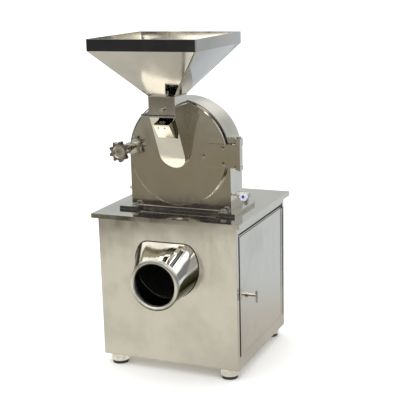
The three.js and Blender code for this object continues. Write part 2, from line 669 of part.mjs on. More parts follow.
// the chute: its front slopes back, then bends back further to the door over a round-bottomed end;
// inset is measured inwards
function chuteForm(inset, extraTop, extraBack) {
  const { x0, x1, top, bendZ, bottom, frontY, lowY } = CHUTE;
  const back = DOOR.front - GAP + extraBack;
  const slope = (frontY - lowY) / (top - bendZ);
  const headY = frontY + slope * extraTop;
  const side = [
    [headY + inset * 1.12, top + extraTop], [back, top + extraTop], [back, bottom + inset],
    [DOOR.front - 2 + inset, bottom + inset], [lowY + inset * 1.12, bendZ + inset * 0.25],
  ];
  const half = (x1 - x0) / 2 - inset;
  const middle = (x0 + x1) / 2;
  const face = [[middle + half, top + extraTop], [middle - half, top + extraTop],
    ...arc(middle, bottom + (x1 - x0) / 2, half, 180, 360, 16)];
  return prism(side, 'x', x0 - 5, x1 + 5).intersect(prism(face, 'y', frontY - 20, back));
}

// where the chute's sloping front is, in Y, at a height
const slopeY = (z) => CHUTE.frontY
  + ((CHUTE.top - z) / (CHUTE.top - CHUTE.bendZ)) * (CHUTE.lowY - CHUTE.frontY);

function feedChute() {
  const shell = cut(chuteForm(0, 0, 0), chuteForm(2.5, 20, 10));
  const { x0, x1, topZ, footZ } = SCOOP;
  return cut(shell, box(x0 + 4, x1 - 4, CHUTE.frontY - 10, CHUTE.lowY, footZ + 8, topZ - 4));
}

// the hooded air inlet on the chute's front, open at its top, with two screw heads on its face
function airScoop() {
  const { x0, x1, sheet, lip, low, topZ, footZ } = SCOOP;
  const outline = [[slopeY(topZ) - GAP, topZ], lip, low, [slopeY(footZ) - GAP, footZ]];
  const inside = [[slopeY(topZ) + 20, topZ + 20], [lip[0] - 3, lip[1] + 24], [lip[0] + 2.6, lip[1]],
    [low[0] + 2.6, low[1] + 2.2], [slopeY(footZ + 4) + 20, footZ + 4]];
  const shell = cut(prism(outline, 'x', x0, x1), prism(inside, 'x', x0 + sheet, x1 - sheet));
  const face = new THREE.Vector2(low[0] - lip[0], low[1] - lip[1]).normalize();
  const screws = [0.24, 0.64].map((across) => {
    const screw = new THREE.CylinderGeometry(3.6, 3.6, 3, 8); // its axis is turned square to the face
    screw.rotateX(Math.atan2(-face.x, face.y) + Math.PI / 2 + Math.PI / 2);
    const at = face.clone().multiplyScalar(19).add(new THREE.Vector2(...lip));
    return solid(screw.translate(x0 + across * (x1 - x0), at.x - 1, at.y));
  });
  return join(shell, ...screws);
}

// the neck stands on a guide plate; the gate slides between them, over the plate and under the neck's walls
function feedNeck() {
  const { x0, x1, y0, y1, bottom, top, sheet } = NECK;
  const { guide, gate, left } = GATE;
  const slot = bottom + guide + gate + 1.4; // underside of the neck's front and left walls
  const walls = cut(box(x0, x1, y0, y1, bottom, top),
    box(x0 + sheet, x1 - sheet, y0 + sheet, y1 - sheet, bottom - 5, top + 5),
    box(x0 - 5, x1 - sheet, y0 - 5, y1 - sheet, bottom - 5, slot));
  const plate = cut(box(left, x1, y0, y1, bottom, bottom + guide),
    box(x0 + sheet, x1 - sheet - 3, y0 + 6, y1 - 6, bottom - 5, bottom + guide + 5));
  return join(walls, plate);
}

function gatePlate() {
  const { x1, y0, y1, sheet, bottom } = NECK;
  const { guide, gate, left } = GATE;
  const low = bottom + guide + 0.5;
  const blade = box(left - 3, x1 - sheet - 0.5, y0 + 4, y1 - sheet - 0.5, low, low + gate);
  return cut(blade, rod('z', left + 13, (y0 + y1) / 2, 9, low - 5, low + gate + 5, 20));
}

function neckScrew() {
  const { x, z, radius, knob, front } = NECK_SCREW;
  return join(
    rod('y', x, z, radius, front + 6, NECK.y0 - GAP, 14),
    rod('y', x, z, knob, front, front + 7.5, 16),
  );
}

// a rectangle of points with rounded corners
function roundedRect(x0, x1, y0, y1, radius, z) {
  const corners = [
    arc(x1 - radius, y1 - radius, radius, 0, 90, 3), arc(x0 + radius, y1 - radius, radius, 90, 180, 3),
    arc(x0 + radius, y0 + radius, radius, 180, 270, 3), arc(x1 - radius, y0 + radius, radius, 270, 360, 3),
  ];
  return corners.flat().map(([x, y]) => [x, y, z]);
}

function hopper() {
  const rings = (inset) => [
    roundedRect(NECK.x0 + inset, NECK.x1 - inset, NECK.y0 + inset, NECK.y1 - inset, 4, NECK.top + GAP),
    roundedRect(HOPPER.x0 + inset, HOPPER.x1 - inset, HOPPER.y0 + inset, HOPPER.y1 - inset, 9 - inset,
      HOPPER.coneTop),
    roundedRect(HOPPER.x0 + inset, HOPPER.x1 - inset, HOPPER.y0 + inset, HOPPER.y1 - inset, 9 - inset,
      HOPPER.top),
  ];
  return tube(rings(0), rings(HOPPER.sheet));
}

// ---- the machine ----
add('base_pan', basePan(), STEEL);
add('front_panel', frontPanel(), STEEL);
add('rear_panel', rearPanel(), STEEL);
add('left_panel', leftPanel(), STEEL);
add('side_frame', sideFrame(), STEEL);
add('service_door', serviceDoor(), STEEL);
add('side_hinge_leaf', sideHingeLeaf(), STEEL);
add('side_hinge_pin', sideHingePin(), HARD);
add('latch_handle', latchHandle(), STEEL);
add('latch_tongue', latchTongue(), STEEL);
add('table_top', tableTop(), STEEL);
add('foot_front_left', foot(-FOOT.x, -FOOT.y), HARD);
add('foot_front_right', foot(FOOT.x, -FOOT.y), HARD);
add('foot_rear_left', foot(-FOOT.x, FOOT.y), HARD);
add('foot_rear_right', foot(FOOT.x, FOOT.y), HARD);
add('cable_gland', cableGland(), RUBBER);
add('inner_duct', innerDuct(), STEEL);
add('outlet_duct', outletDuct(), STEEL);

add('base_flange', baseFlange(), STEEL);
FLANGE_BOLTS.forEach(([x, y], i) => add(`flange_bolt_${i + 1}`, flangeBolt(x, y), HARD));
add('chamber_housing', chamberHousing(), STEEL);
add('chamber_liner', chamberLiner(), HARD);
add('sieve_screen', sieveScreen(), HARD);
add('hinge_bracket', hingeBracket(), STEEL);
add('hinge_pin', hingePin(), HARD);
add('tap_body', tapBody(), STEEL);
add('tap_handle', tapHandle(), BLUE);
add('water_nipple', waterNipple(), STEEL);

add('rotor_shaft', rotorShaft(), HARD);
add('rotor_disc', rotorDisc(), HARD);
for (let i = 0; i < HAMMER_COUNT; i += 1) add(`hammer_${i + 1}`, hammer(i), HARD);
add('bearing_housing', bearingHousing(), CAST);
add('bearing_front', bearing(BEARINGS[0]), HARD);
add('bearing_rear', bearing(BEARINGS[1]), HARD);
add('driven_pulley', pulley(CHAMBER.x, CHAMBER.z, DRIVEN_PITCH, ROTOR.shaftRadius + GAP), CAST);
add('v_belt', vBelt(), RUBBER);
add('belt_guard', beltGuard(), STEEL);
add('motor_body', motorBody(), PAINT);
add('motor_rotor', motorRotor(), HARD);
add('motor_pulley', pulley(MOTOR.x, MOTOR.z, MOTOR_PITCH, MOTOR.shaft + GAP), CAST);
add('motor_plate', motorPlate(), HARD);

add('door_panel', doorPanel(), STEEL);
add('door_gasket', doorGasket(), RUBBER);
add('door_hinge_plate', doorHingePlate(), STEEL);
add('clamp_washer', clampWasher(), STEEL);
add('clamp_screw', clampScrew(), HARD);
add('star_knob', starKnob(), HARD);
add('feed_chute', feedChute(), STEEL);
add('air_scoop', airScoop(), STEEL);
add('feed_neck', feedNeck(), STEEL);
add('gate_plate', gatePlate(), STEEL);
add('neck_screw', neckScrew(), STEEL);
add('hopper', hopper(), STEEL);

export default group;
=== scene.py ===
import math

import bmesh
import bpy
from mathutils import Matrix, Vector


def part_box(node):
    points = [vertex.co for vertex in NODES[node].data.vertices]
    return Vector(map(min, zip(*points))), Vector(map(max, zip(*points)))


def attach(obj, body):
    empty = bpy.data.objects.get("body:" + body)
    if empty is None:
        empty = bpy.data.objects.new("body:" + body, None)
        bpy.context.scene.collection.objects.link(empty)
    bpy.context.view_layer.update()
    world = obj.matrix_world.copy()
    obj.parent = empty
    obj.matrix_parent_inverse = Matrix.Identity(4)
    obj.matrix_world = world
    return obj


# Looks of a stainless steel hammer mill. Metres, +Z up, the machine's front faces -Y.

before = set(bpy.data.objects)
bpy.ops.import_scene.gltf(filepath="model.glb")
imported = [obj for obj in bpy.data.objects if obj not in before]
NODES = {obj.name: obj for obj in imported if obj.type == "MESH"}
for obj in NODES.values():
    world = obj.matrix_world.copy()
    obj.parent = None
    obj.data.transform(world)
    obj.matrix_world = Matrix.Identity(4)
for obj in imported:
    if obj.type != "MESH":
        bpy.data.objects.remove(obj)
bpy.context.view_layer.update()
MM = 0.001

# sizes that a node's box doesn't give
NECK_WIDTH = 103 * MM  # its walls; the guide plate under them reaches further left
OUTLET_OFFSET = 2 * MM  # the outlet's middle, to the right of the duct's
OUTLET_RADIUS = 95 * MM
OUTLET_WELD_BACK = 8 * MM  # the outlet's weld, behind its mouth
OUTLET_RIM_DEPTH = 15 * MM
DUCT_FLAT_TOP = 87 * MM  # above the duct's middle
DUCT_BLEND = 22 * MM  # how far the flat top's rounded corners reach
CLAMP_BLOCK_REACH = 16.5 * MM  # how far the clamp's block stands out from the chamber's left wall
SHADE_STRIP_OFFSET = 5.6 * MM  # the dark strips' middle, in front of the side door
SHADE_STRIP_ABOVE = 8.5 * MM  # and above it
SHADE_STRIP_DEPTH = 2.4 * MM  # behind the side frame's face
WELD_STEP = 1.1 * MM  # from ring to ring of a weld bead's mesh
THREAD_PITCH = 2.0 * MM
THREAD_TURNS = 4.6
THREAD_HALF_WIDTH = 0.7 * MM
THREAD_ROOT = 0.5 * MM  # under the screw's surface
THREAD_CREST = 0.1 * MM  # over it
FOOT_DARK_TOP = 13 * MM
TAP_CAP_RADIUS = 6.1 * MM
TERMINAL_Y = 83.5 * MM  # middle of the motor's terminal box
MOTOR_AXIS_HEIGHT = 112 * MM  # above the motor's feet
MOTOR_RADIUS = 98 * MM  # of the casing between its fins
MOTOR_FINS = 40
MOTOR_FIN_HEIGHT = 9 * MM
MOTOR_FIN_LENGTH = 190 * MM
MOTOR_FIN_START = 28 * MM  # behind the motor's front

# ---- camera ----

CAMERA_AZIMUTH = math.radians(23.31)
CAMERA_ELEVATION = math.radians(14.07)
CAMERA_ROLL = math.radians(-1.46)
CAMERA_DISTANCE = 3.7413
CAMERA_TARGET = Vector((0.0224, 0.071, 0.5516))
CAMERA_LENS = 87.16
CAMERA_SHIFT = (-0.006, 0.0366)
CAMERA_FAR_END = 60


def make_camera():
    """A long lens from the right of the front, a little above the hopper."""
    toward = Vector((
        -math.sin(CAMERA_AZIMUTH) * math.cos(CAMERA_ELEVATION),
        math.cos(CAMERA_AZIMUTH) * math.cos(CAMERA_ELEVATION),
        -math.sin(CAMERA_ELEVATION),
    ))
    level_right = toward.cross(Vector((0, 0, 1))).normalized()
    level_up = level_right.cross(toward)
    right = level_right * math.cos(CAMERA_ROLL) + level_up * math.sin(CAMERA_ROLL)
    up = level_up * math.cos(CAMERA_ROLL) - level_right * math.sin(CAMERA_ROLL)
    data = bpy.data.cameras.new("camera")
    data.lens = CAMERA_LENS
    data.shift_x, data.shift_y = CAMERA_SHIFT
    data.clip_end = CAMERA_FAR_END
    camera = bpy.data.objects.new("camera", data)
    bpy.context.scene.collection.objects.link(camera)
    axes = Matrix((right, up, -toward)).transposed().to_4x4()
    camera.matrix_world = Matrix.Translation(CAMERA_TARGET - toward * CAMERA_DISTANCE) @ axes
    bpy.context.scene.camera = camera


# ---- shared helpers ----


def plain_mesh(name, points, faces):
    mesh = bpy.data.meshes.new(name)
    mesh.from_pydata(points, [], faces)
    made = bpy.data.objects.new(name, mesh)
    bpy.context.scene.collection.objects.link(made)
    return made


class Graph:
    """Short calls for building one node tree."""

    def __init__(self, tree):
        self.tree = tree
        tree.nodes.clear()

    def node(self, kind, **settings):
        made = self.tree.nodes.new(kind)
        for key, value in settings.items():
            setattr(made, key, value)
        return made

    def feed(self, socket, value):
        """Links an output to the socket, or sets the socket's own value."""
        if isinstance(value, bpy.types.NodeSocket):
            self.tree.links.new(value, socket)
        elif value is not None:
            socket.default_value = value

    def math(self, operation, a, b=None, c=None):
        made = self.node("ShaderNodeMath", operation=operation)
        for socket, value in zip(made.inputs, (a, b, c)):
            self.feed(socket, value)
        return made.outputs[0]

    def vector(self, operation, a, b=None):
        made = self.node("ShaderNodeVectorMath", operation=operation)
        self.feed(made.inputs[0], a)
        self.feed(made.inputs[1], b)
        return made.outputs["Value"] if operation in ("LENGTH", "DOT_PRODUCT") else made.outputs[0]

    def split(self, vector):
        made = self.node("ShaderNodeSeparateXYZ")
        self.feed(made.inputs[0], vector)
        return made.outputs

    def scaled(self, vector, x, y, z):
        return self.vector("MULTIPLY", vector, (x, y, z))

    def step(self, value, low, high, start=0.0, end=1.0, kind="SMOOTHSTEP"):
        """A smooth step from start, at low, to end, at high."""
        made = self.node("ShaderNodeMapRange", interpolation_type=kind)
        for socket, number in zip(made.inputs, (value, low, high, start, end)):
            self.feed(socket, number)
        return made.outputs[0]

    def span(self, value, low, high, start, end):
        """Like step, but straight."""
        return self.step(value, low, high, start, end, "LINEAR")

    def mix(self, factor, a, b):
        """Mixes two colours; a colour is an output or three numbers."""
        made = self.node("ShaderNodeMix", data_type="RGBA")
        self.feed(made.inputs[0], factor)
        self.feed(made.inputs[6], a if isinstance(a, bpy.types.NodeSocket) else (*a, 1))
        self.feed(made.inputs[7], b if isinstance(b, bpy.types.NodeSocket) else (*b, 1))
        return made.outputs[2]

    def noise(self, vector, scale, detail=2.0, roughness=0.5, distortion=0.0):
        """Cloudy noise from 0 to 1, with about scale lumps to a metre."""
        made = self.node("ShaderNodeTexNoise")
        self.feed(made.inputs["Vector"], vector)
        self.feed(made.inputs["Scale"], scale)
        self.feed(made.inputs["Detail"], detail)
        self.feed(made.inputs["Roughness"], roughness)
        self.feed(made.inputs["Distortion"], distortion)
        return made.outputs[0]

    def place(self):
        """The point on the piece, in metres."""
        return self.node("ShaderNodeTexCoord").outputs["Object"]

    def bump(self, height, distance, normal=None):
        """A normal bent by a height from 0 to 1, over a distance in metres."""
        made = self.node("ShaderNodeBump")
        self.feed(made.inputs["Height"], height)
        self.feed(made.inputs["Distance"], distance)
        self.feed(made.inputs["Strength"], 1.0)
        self.feed(made.inputs["Normal"], normal)
        return made.outputs[0]


def new_material(name):
    material = bpy.data.materials.new(name)
    material.use_nodes = True
    return material, Graph(material.node_tree)


def surface(graph, **values):
    """A Principled shader whose sockets are fed by name, joined to the output."""
    shader = graph.node("ShaderNodeBsdfPrincipled")
    for key, value in values.items():
        socket = shader.inputs[key.replace("_", " ")]
        if isinstance(value, tuple) and len(value) == 3:
            value = (*value, 1)
        graph.feed(socket, value)
    output = graph.node("ShaderNodeOutputMaterial")
    graph.tree.links.new(shader.outputs[0], output.inputs[0])


# ---- materials ----

STEEL_TINT = (0.68, 0.65, 0.585)
STEEL_TINT_DULL = (0.60, 0.575, 0.52)
HOPPER_TINT = (0.52, 0.50, 0.465)
HOPPER_TINT_DULL = (0.46, 0.445, 0.41)
BRIGHT_TINT = (0.88, 0.87, 0.83)
BRIGHT_TINT_DULL = (0.80, 0.78, 0.73)
# painted light: the hopper's inward faces are made paler, for the light they catch from overhead
HOPPER_INSIDE_LIT_TINT = (0.68, 0.665, 0.62)
SMEAR_TINT = (0.50, 0.47, 0.41)
# painted shade: the dark olive put on the duct's underside, for the shadow it reflects
UNDERSIDE_SHADE_TINT = (0.085, 0.080, 0.030)
SATIN_ROUGHNESS = 0.30  # added to a polished sheet's
GRAIN_DEPTH = 0.012 * MM


def between(g, value, low, high, soft):
    """1 where the value lies between low and high, 0 outside."""
    return g.math("MULTIPLY", g.step(value, low - soft, low + soft), g.step(value, high + soft, high - soft))


def facing_inwards(g, node):
    """1 where a hollow piece's surface faces its own upright middle line, 0 outside."""
    low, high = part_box(node)
    middle = (low + high) / 2
    spoke = g.scaled(g.vector("SUBTRACT", g.place(), tuple(middle)), 1.0, 1.0, 0.0)
    outward = g.vector("DOT_PRODUCT", spoke, g.node("ShaderNodeNewGeometry").outputs["Normal"])
    return g.step(outward, 0.0, -0.01)


def radius_in_front(g, node):
    """How far the point lies from a piece's middle, seen from the front."""
    low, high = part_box(node)
    offset = g.vector("SUBTRACT", g.place(), tuple((low + high) / 2))
    return g.vector("LENGTH", g.scaled(offset, 1.0, 0.0, 1.0))


def facing_down(g):
    """1 on an underside, 0 on what faces up: where the duct's painted shade goes."""
    upward = g.split(g.node("ShaderNodeNewGeometry").outputs["Normal"])[2]
    return g.step(upward, 0.02, -0.30)


def on_outlet_rim(g):
    """1 on the rolled rim at the outlet's mouth."""
    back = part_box("outlet_duct")[0].y + OUTLET_RIM_DEPTH
    return g.step(g.split(g.place())[1], back + 5 * MM, back)


def sheet_steel(name, gloss, wave, wave_size, smudge=0.08, tint=STEEL_TINT, dull=STEEL_TINT_DULL,
                part=None, painted_lighting_tint=None, satin=None):
    """Polished sheet: gloss is its lowest roughness, wave how far the sheet bows, in metres, over wave_size.
    part(g) says, from 0 to 1, where another tint is put instead, as painted light or painted shade; satin(g)
    where it is brushed dull."""
    material, g = new_material(name)
    place = g.place()
    cloud = g.noise(place, 5.5, 3, 0.55)
    smears = g.noise(g.scaled(place, 1.0, 1.0, 0.35), 26, 4, 0.6, 0.4)
    grain = g.noise(g.scaled(place, 1.0, 1.0, 22.0), 90, 2, 0.5)
    colour = g.mix(g.step(cloud, 0.38, 0.68), tint, dull)
    colour = g.mix(g.step(smears, 0.60, 0.80, 0.0, 0.22), colour, SMEAR_TINT)
    # painted light or shade over the part that part(g) marks
    if part:
        colour = g.mix(part(g), colour, painted_lighting_tint)
    rough = g.math("MULTIPLY_ADD", g.step(smears, 0.42, 0.72), smudge, gloss)
    rough = g.math("MULTIPLY_ADD", g.step(cloud, 0.35, 0.7), smudge * 0.5, rough)
    if satin:
        rough = g.math("MULTIPLY_ADD", satin(g), SATIN_ROUGHNESS, rough)
    bow = g.noise(place, 1 / wave_size, 1.0, 0.4)
    normal = g.bump(bow, wave)
    normal = g.bump(grain, GRAIN_DEPTH, normal)
    surface(g, Base_Color=colour, Metallic=1.0, Roughness=rough, Normal=normal)
    return material


def machined_steel():
    """Turned and cut steel: fine tool lines and a faint oily mottle."""
    material, g = new_material("machined_steel")
    place = g.place()
    mottle = g.noise(place, 60, 3, 0.6)
    lines = g.noise(g.scaled(place, 1.0, 14.0, 1.0), 160, 2, 0.5)
    clean = (0.56, 0.55, 0.52)
    oily = (0.40, 0.39, 0.37)
    colour = g.mix(g.step(mottle, 0.35, 0.7), clean, oily)
    rough = g.span(mottle, 0.3, 0.7, 0.24, 0.42)
    surface(g, Base_Color=colour, Metallic=1.0, Roughness=rough, Normal=g.bump(lines, 0.04 * MM))
    return material


def cast_iron():
    """Sand-cast: pebbled, darker in its pits."""
    material, g = new_material("cast_iron")
    place = g.place()
    pebble = g.noise(place, 420, 3, 0.6)
    stain = g.noise(place, 38, 3, 0.6)
    clean = (0.34, 0.34, 0.34)
    stained = (0.20, 0.20, 0.20)
    pit = (0.08, 0.08, 0.08)
    colour = g.mix(g.step(stain, 0.35, 0.7), clean, stained)
    colour = g.mix(g.step(pebble, 0.35, 0.55, 0.45, 0.0), colour, pit)
    rough = g.span(stain, 0.3, 0.7, 0.42, 0.62)
    surface(g, Base_Color=colour, Metallic=0.85, Roughness=rough, Normal=g.bump(pebble, 0.35 * MM))
    return material


def knob_casting():
    """Cast, with its dished face inside the teeth turned smoother and given a painted highlight, and painted
    shade in two grooves and at the hub.
    """
    material, g = new_material("knob_casting")
    place = g.place()
    radius = radius_in_front(g, "star_knob")
    pebble = g.noise(place, 420, 3, 0.6)
    stain = g.noise(place, 60, 3, 0.6)
    # painted highlight: the dished face inside the teeth is made near-white; it is also smoother, as turned
    turned_face_highlight = g.step(radius, 26 * MM, 24 * MM)
    outer_groove = between(g, radius, 19.5 * MM, 21 * MM, 0.8 * MM)
    inner_groove = between(g, radius, 10 * MM, 11.5 * MM, 0.8 * MM)
    hub_shade = g.step(radius, 4 * MM, 3 * MM)
    # painted shade: the two grooves and the hub are made near-black
    groove_shade = g.math("MAXIMUM", g.math("MAXIMUM", outer_groove, inner_groove), hub_shade)
    clean = (0.42, 0.40, 0.35)
    stained = (0.26, 0.245, 0.21)
    colour = g.mix(g.step(stain, 0.35, 0.7), clean, stained)
    colour = g.mix(turned_face_highlight, colour, (0.98, 0.95, 0.88))
    colour = g.mix(groove_shade, colour, (0.16, 0.15, 0.13))
    rough = g.math("MULTIPLY_ADD", turned_face_highlight, -0.14, g.span(stain, 0.3, 0.7, 0.22, 0.36))
    surface(g, Base_Color=colour, Metallic=1.0, Roughness=rough, Normal=g.bump(pebble, 0.35 * MM))
    return material


def black_rubber():
    """Matt rubber with grey dust on it."""
    material, g = new_material("black_rubber")
    place = g.place()
    dust = g.noise(place, 45, 4, 0.65)
    fine = g.noise(place, 700, 2, 0.5)
    clean = (0.020, 0.020, 0.021)
    dusty = (0.075, 0.072, 0.068)
    colour = g.mix(g.step(dust, 0.45, 0.8), clean, dusty)
    rough = g.span(dust, 0.3, 0.7, 0.55, 0.82)
    surface(g, Base_Color=colour, Metallic=0.0, Roughness=rough, Normal=g.bump(fine, 0.1 * MM))
    return material


def motor_paint():
    """Hammered blue-grey enamel, with dust on what faces up."""
    material, g = new_material("motor_paint")
    place = g.place()
    peel = g.noise(place, 260, 2, 0.5)
    stain = g.noise(place, 14, 4, 0.6)
    up = g.split(g.node("ShaderNodeNewGeometry").outputs["Normal"])[2]
    dust = g.math("MULTIPLY", g.step(up, 0.2, 0.95), g.step(stain, 0.35, 0.65))
    paint = (0.060, 0.105, 0.150)
    faded = (0.085, 0.140, 0.185)
    colour = g.mix(g.step(stain, 0.3, 0.75), paint, faded)
    colour = g.mix(g.math("MULTIPLY", dust, 0.45), colour, (0.36, 0.33, 0.28))
    rough = g.math("MULTIPLY_ADD", dust, 0.35, 0.32)
    surface(g, Base_Color=colour, Metallic=0.0, Roughness=rough, Normal=g.bump(peel, 0.25 * MM))
    return material


def tap_plastic():
    """A pale handle with a blue cap at its middle."""
    material, g = new_material("tap_handle_plastic")
    radius = radius_in_front(g, "tap_handle")
    scuffs = g.noise(g.place(), 300, 3, 0.6)
    clean = (0.62, 0.63, 0.64)
    scuffed = (0.42, 0.43, 0.45)
    blue = (0.02, 0.05, 0.36)
    pale = g.mix(g.step(scuffs, 0.4, 0.75), clean, scuffed)
    colour = g.mix(g.step(radius, TAP_CAP_RADIUS - 0.5 * MM, TAP_CAP_RADIUS + 0.5 * MM), blue, pale)
    rough = g.span(scuffs, 0.3, 0.7, 0.22, 0.42)
    surface(g, Base_Color=colour, Metallic=0.0, Roughness=rough, Normal=g.bump(scuffs, 0.08 * MM))
    return material


def foot_metal():
    """A steel cup, made black and matt along its lowest part."""
    material, g = new_material("foot")
    place = g.place()
    height = g.split(place)[2]
    # the foot is black and matt below this height, steel above it
    cup = g.step(height, FOOT_DARK_TOP - 0.2 * MM, FOOT_DARK_TOP + 0.2 * MM)
    stain = g.noise(place, 40, 4, 0.6)
    clean = (0.90, 0.87, 0.79)
    stained = (0.68, 0.65, 0.58)
    rubber = (0.030, 0.028, 0.026)
    colour = g.mix(cup, rubber, g.mix(g.step(stain, 0.4, 0.7), clean, stained))
    rough = g.math("MULTIPLY_ADD", stain, 0.25, g.span(cup, 0, 1, 0.6, 0.14))
    surface(g, Base_Color=colour, Metallic=cup, Roughness=rough, Normal=g.bump(stain, 0.2 * MM))
    return material


def dark_plate():
    """Near-black mottled plate. On the inner duct it is painted shade inside the outlet's bore; the gate
    plate is made near-black too.
    """
    material, g = new_material("dark_plate")
    place = g.place()
    scale = g.noise(place, 90, 4, 0.6)
    black = (0.060, 0.058, 0.056)
    worn = (0.13, 0.12, 0.11)
    colour = g.mix(g.step(scale, 0.35, 0.65), black, worn)
    rough = g.span(scale, 0.3, 0.7, 0.35, 0.6)
    surface(g, Base_Color=colour, Metallic=0.8, Roughness=rough, Normal=g.bump(scale, 0.1 * MM))
    return material


def weld_metal():
    """A ground weld: dull, with a straw and blue heat tint in patches."""
    material, g = new_material("weld")
    place = g.place()
    patches = g.noise(place, 60, 3, 0.6)
    clean = (0.62, 0.59, 0.52)
    straw = (0.56, 0.47, 0.33)
    blue = (0.30, 0.33, 0.42)
    colour = g.mix(g.step(patches, 0.35, 0.55), clean, straw)
    colour = g.mix(g.step(patches, 0.58, 0.72, 0.0, 0.5), colour, blue)
    rough = g.span(patches, 0.3, 0.7, 0.22, 0.40)
    surface(g, Base_Color=colour, Metallic=1.0, Roughness=rough, Normal=g.bump(patches, 0.2 * MM))
    return material


def hopper_steel():
    # the inward faces get a paler tint: painted light from overhead
    return sheet_steel("hopper_steel", gloss=0.06, wave=1.2 * MM, wave_size=0.20, smudge=0.06,
                       tint=HOPPER_TINT, dull=HOPPER_TINT_DULL,
                       part=lambda g: facing_inwards(g, "hopper"), painted_lighting_tint=HOPPER_INSIDE_LIT_TINT)


def duct_steel():
    """The brightest polish, with painted shade underneath (a dark olive standing in for the shadow the spout
    reflects there), and brushed on the outlet's rim.
    """
    return sheet_steel("duct_steel", gloss=0.035, wave=0.7 * MM, wave_size=0.09, smudge=0.03,
                       tint=BRIGHT_TINT, dull=BRIGHT_TINT_DULL,
                       part=facing_down, painted_lighting_tint=UNDERSIDE_SHADE_TINT, satin=on_outlet_rim)


def make_materials():
    return {
        "cabinet": sheet_steel("cabinet_steel", gloss=0.13, wave=2.2 * MM, wave_size=0.26, smudge=0.10),
        "plate": sheet_steel("plate_steel", gloss=0.07, wave=1.2 * MM, wave_size=0.20, smudge=0.07),
        "hopper": hopper_steel(),
        "bright": sheet_steel("bright_steel", gloss=0.04, wave=0.6 * MM, wave_size=0.12, smudge=0.05,
                              tint=BRIGHT_TINT, dull=STEEL_TINT),
        "duct": duct_steel(),
        "inside": sheet_steel("inside_steel", gloss=0.26, wave=1.0 * MM, wave_size=0.16, smudge=0.16),
        "machined": machined_steel(),
        "cast": cast_iron(),
        "knob": knob_casting(),
        "rubber": black_rubber(),
        "paint": motor_paint(),
        "tap": tap_plastic(),
        "foot": foot_metal(),
        "weld": weld_metal(),
        "scale": dark_plate(),
    }


MATERIAL_OF = {
    "cabinet": ["front_panel", "rear_panel", "left_panel", "side_frame", "service_door", "base_pan"],
    "plate": ["table_top", "base_flange", "chamber_housing", "door_panel", "door_hinge_plate",
              "hinge_bracket", "feed_neck", "feed_chute", "air_scoop", "belt_guard", "side_hinge_leaf"],
    # painted shade: the inner duct is made near-black inside the outlet's bore
    "scale": ["gate_plate", "inner_duct"],
    "hopper": ["hopper"],
    "bright": ["latch_handle", "neck_screw", "clamp_washer"],
    "duct": ["outlet_duct"],
    "inside": ["latch_tongue", "motor_plate"],
    "machined": ["side_hinge_pin", "flange_bolt_1", "flange_bolt_2", "flange_bolt_3", "flange_bolt_4",
                 "chamber_liner", "sieve_screen", "hinge_pin", "rotor_shaft", "rotor_disc", "hammer_1",
                 "hammer_2", "hammer_3", "hammer_4", "bearing_front", "bearing_rear", "motor_rotor",
                 "clamp_screw", "tap_body", "water_nipple"],
    "cast": ["bearing_housing", "driven_pulley", "motor_pulley"],
    "knob": ["star_knob"],
    "rubber": ["cable_gland", "v_belt", "door_gasket"],
    "paint": ["motor_body"],
    "tap": ["tap_handle"],
    "foot": ["foot_front_left", "foot_front_right", "foot_rear_left", "foot_rear_right"],
}

# ---- CAD pieces: rounded edges and smooth curves ----

EDGE_ANGLE = math.radians(28)
DEFAULT_EDGE = 0.6 * MM
LEFT_SHARP = ["rear_panel"]  # its rows of vents leave no room for rounded edges
EDGE_OF = {
    "side_hinge_leaf": 0.1 * MM,
    "inner_duct": 0.1 * MM,
    "service_door": 0.15 * MM,
    "sieve_screen": 0.2 * MM,
    "hopper": 0.5 * MM,
    "base_flange": 0.9 * MM,
    "door_hinge_plate": 1.1 * MM,
    "table_top": 1.2 * MM,
    "latch_handle": 1.2 * MM,
    "bearing_housing": 1.5 * MM,
    "tap_handle": 1.5 * MM,
    "star_knob": 1.6 * MM,
    "motor_body": 2.0 * MM,
}


def smooth_group():
    """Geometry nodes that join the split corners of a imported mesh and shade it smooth."""
    group = bpy.data.node_groups.new("joined_and_smooth", "GeometryNodeTree")
    for way in ("INPUT", "OUTPUT"):
        group.interface.new_socket("Geometry", in_out=way, socket_type="NodeSocketGeometry")
    chain = [group.nodes.new(kind) for kind in (
        "NodeGroupInput", "GeometryNodeRemoveAttribute", "GeometryNodeMergeByDistance",
        "GeometryNodeSetShadeSmooth", "GeometryNodeSetShadeSmooth", "NodeGroupOutput")]
    chain[1].inputs["Name"].default_value = "custom_normal"
    chain[2].inputs["Distance"].default_value = 0.01 * MM
    chain[3].domain = "FACE"
    chain[4].domain = "EDGE"
    for smooth in chain[3:5]:
        smooth.inputs["Shade Smooth"].default_value = True
    for first, second in zip(chain, chain[1:]):
        group.links.new(first.outputs[0], second.inputs[0])
    return group


def rounded(piece, width, angle):
    """A bevel on the edges that turn by more than the angle."""
    edge = piece.modifiers.new("rounded_edges", "BEVEL")
    edge.width = width
    edge.segments = 2
    edge.limit_method = "ANGLE"
    edge.angle_limit = angle
    return edge


def round_cad_edges(piece, group, width):
    """Joins the mesh, clears the lines across its flat faces and bevels its edges."""
    joined = piece.modifiers.new("joined", "NODES")
    joined.node_group = group
    flat = piece.modifiers.new("flat_faces", "DECIMATE")
    flat.decimate_type = "DISSOLVE"
    flat.angle_limit = math.radians(1)
    edge = rounded(piece, width, EDGE_ANGLE)
    edge.harden_normals = True
    edge.miter_outer = "MITER_ARC"


def finish_cad_pieces(materials):
    group = smooth_group()
    for key, names in MATERIAL_OF.items():
        for name in names:
            piece = NODES[name]
            piece.data.materials.clear()
            piece.data.materials.append(materials[key])
            if name not in LEFT_SHARP:
                round_cad_edges(piece, group, EDGE_OF.get(name, DEFAULT_EDGE))


# ---- added pieces ----


